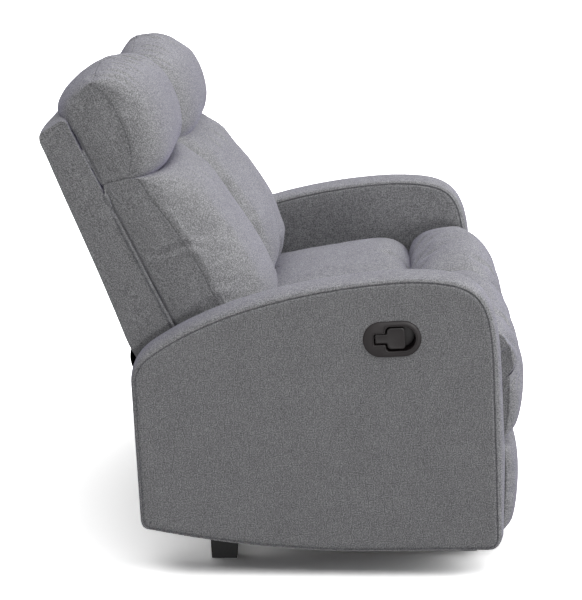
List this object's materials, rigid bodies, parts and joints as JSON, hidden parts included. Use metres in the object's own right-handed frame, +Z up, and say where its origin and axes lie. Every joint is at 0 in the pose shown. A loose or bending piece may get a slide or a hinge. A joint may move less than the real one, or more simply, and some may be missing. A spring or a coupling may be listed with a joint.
{
  "type": "reclining sofa",
  "caption": "Two-seat sofa with curved padded arms; each seat has a reclining back with head cushion, a folding footrest and a release lever.",
  "frame": {"origin": "floor level under the middle of the closed sofa", "axes": "+Z up, -Y towards the front that the sitter faces, +X towards the sitter's left"},
  "size_m": [1.1766, 0.9567, 0.983],
  "materials": {
    "upholstery": "woven, matte",
    "handle_plastic": "satin moulded",
    "foot_rubber": "matte",
    "mechanism_steel": "satin black paint",
    "board": "raw plywood",
    "lining_cloth": "thin non-woven, matte"
  },
  "bodies": {
    "base": {"front_tube": "mechanism_steel", "rear_tube": "mechanism_steel", "middle_front_foot": "foot_rubber", "middle_rear_foot": "foot_rubber", "right_arm": "upholstery", "right_handle_bezel": "handle_plastic", "right_front_foot": "foot_rubber", "right_rear_foot": "foot_rubber", "right_outer_channel": "mechanism_steel", "right_inner_channel": "mechanism_steel", "left_arm": "upholstery", "left_handle_bezel": "handle_plastic", "left_front_foot": "foot_rubber", "left_rear_foot": "foot_rubber", "left_outer_channel": "mechanism_steel", "left_inner_channel": "mechanism_steel"},
    "right_handle": {"right_handle_lever": "handle_plastic"},
    "right_seat": {"right_seat_deck": "board", "right_seat_cushion": "upholstery", "right_front_roll": "upholstery", "right_outer_seat_plate": "mechanism_steel", "right_inner_seat_plate": "mechanism_steel"},
    "right_back": {"right_back_frame": "upholstery", "right_back_lining": "lining_cloth", "right_back_cushion": "upholstery", "right_head_cushion": "upholstery", "right_outer_back_bracket": "mechanism_steel", "right_inner_back_bracket": "mechanism_steel"},
    "right_link_a": {"right_outer_link_a": "mechanism_steel", "right_inner_link_a": "mechanism_steel"},
    "right_link_b": {"right_outer_link_b": "mechanism_steel", "right_inner_link_b": "mechanism_steel"},
    "right_upper_rest": {"right_upper_board": "board", "right_upper_pad": "upholstery", "right_outer_board_bracket": "mechanism_steel", "right_inner_board_bracket": "mechanism_steel"},
    "right_lower_rest": {"right_lower_board": "board", "right_lower_pad": "upholstery"},
    "left_handle": {"left_handle_lever": "handle_plastic"},
    "left_seat": {"left_seat_deck": "board", "left_seat_cushion": "upholstery", "left_front_roll": "upholstery", "left_outer_seat_plate": "mechanism_steel", "left_inner_seat_plate": "mechanism_steel"},
    "left_back": {"left_back_frame": "upholstery", "left_back_lining": "lining_cloth", "left_back_cushion": "upholstery", "left_head_cushion": "upholstery", "left_outer_back_bracket": "mechanism_steel", "left_inner_back_bracket": "mechanism_steel"},
    "left_link_a": {"left_outer_link_a": "mechanism_steel", "left_inner_link_a": "mechanism_steel"},
    "left_link_b": {"left_outer_link_b": "mechanism_steel", "left_inner_link_b": "mechanism_steel"},
    "left_upper_rest": {"left_upper_board": "board", "left_upper_pad": "upholstery", "left_outer_board_bracket": "mechanism_steel", "left_inner_board_bracket": "mechanism_steel"},
    "left_lower_rest": {"left_lower_board": "board", "left_lower_pad": "upholstery"}
  },
  "joints": [
    {"name": "right_handle_pull", "type": "hinge", "parent": "base", "child": "right_handle", "pos_m": [-0.578, -0.17554, 0.4794], "axis": [0, -0.0523, -0.9986], "range_deg": [0, 30], "stiffness_Nm_per_rad": 0.6},
    {"name": "right_seat_slide", "type": "slide", "parent": "base", "child": "right_seat", "axis": [0, -1, 0], "range_m": [0, 0.06]},
    {"name": "right_back_recline", "type": "hinge", "parent": "right_seat", "child": "right_back", "pos_m": [-0.24, 0.2, 0.3], "axis": [-1, 0, 0], "range_deg": [0, 32]},
    {"name": "right_footrest_swing", "type": "hinge", "parent": "right_seat", "child": "right_link_a", "pos_m": [-0.24, -0.215, 0.27], "axis": [-1, 0, 0], "range_deg": [0, 58.3]},
    {"name": "right_knee", "type": "hinge", "parent": "right_link_a", "child": "right_link_b", "pos_m": [-0.24, -0.30708, 0.0724], "axis": [-1, 0, 0], "range_deg": [-94.7, 0]},
    {"name": "right_upper_turn", "type": "hinge", "parent": "right_link_b", "child": "right_upper_rest", "pos_m": [-0.24, -0.385, 0.276], "axis": [-1, 0, 0], "range_deg": [0, 126.4]},
    {"name": "right_lower_turn", "type": "hinge", "parent": "right_upper_rest", "child": "right_lower_rest", "pos_m": [-0.24, -0.386, 0.24], "axis": [-1, 0, 0], "range_deg": [-12, 0]},
    {"name": "left_handle_pull", "type": "hinge", "parent": "base", "child": "left_handle", "pos_m": [0.578, -0.17554, 0.4794], "axis": [0, 0.0523, 0.9986], "range_deg": [0, 30], "stiffness_Nm_per_rad": 0.6},
    {"name": "left_seat_slide", "type": "slide", "parent": "base", "child": "left_seat", "axis": [0, -1, 0], "range_m": [0, 0.06]},
    {"name": "left_back_recline", "type": "hinge", "parent": "left_seat", "child": "left_back", "pos_m": [0.24, 0.2, 0.3], "axis": [-1, 0, 0], "range_deg": [0, 32]},
    {"name": "left_footrest_swing", "type": "hinge", "parent": "left_seat", "child": "left_link_a", "pos_m": [0.24, -0.215, 0.27], "axis": [-1, 0, 0], "range_deg": [0, 58.3]},
    {"name": "left_knee", "type": "hinge", "parent": "left_link_a", "child": "left_link_b", "pos_m": [0.24, -0.30708, 0.0724], "axis": [-1, 0, 0], "range_deg": [-94.7, 0]},
    {"name": "left_upper_turn", "type": "hinge", "parent": "left_link_b", "child": "left_upper_rest", "pos_m": [0.24, -0.385, 0.276], "axis": [-1, 0, 0], "range_deg": [0, 126.4]},
    {"name": "left_lower_turn", "type": "hinge", "parent": "left_upper_rest", "child": "left_lower_rest", "pos_m": [0.24, -0.386, 0.24], "axis": [-1, 0, 0], "range_deg": [-12, 0]}
  ],
  "couplings": [
    {"joint": "right_seat_slide", "follows": "right_back_recline", "m_per_rad": 0.107},
    {"joint": "right_knee", "follows": "right_footrest_swing", "ratio": -1.6242},
    {"joint": "right_upper_turn", "follows": "right_footrest_swing", "ratio": 2.1679},
    {"joint": "right_lower_turn", "follows": "right_footrest_swing", "ratio": -0.2058},
    {"joint": "left_seat_slide", "follows": "left_back_recline", "m_per_rad": 0.107},
    {"joint": "left_knee", "follows": "left_footrest_swing", "ratio": -1.6242},
    {"joint": "left_upper_turn", "follows": "left_footrest_swing", "ratio": 2.1679},
    {"joint": "left_lower_turn", "follows": "left_footrest_swing", "ratio": -0.2058}
  ]
}
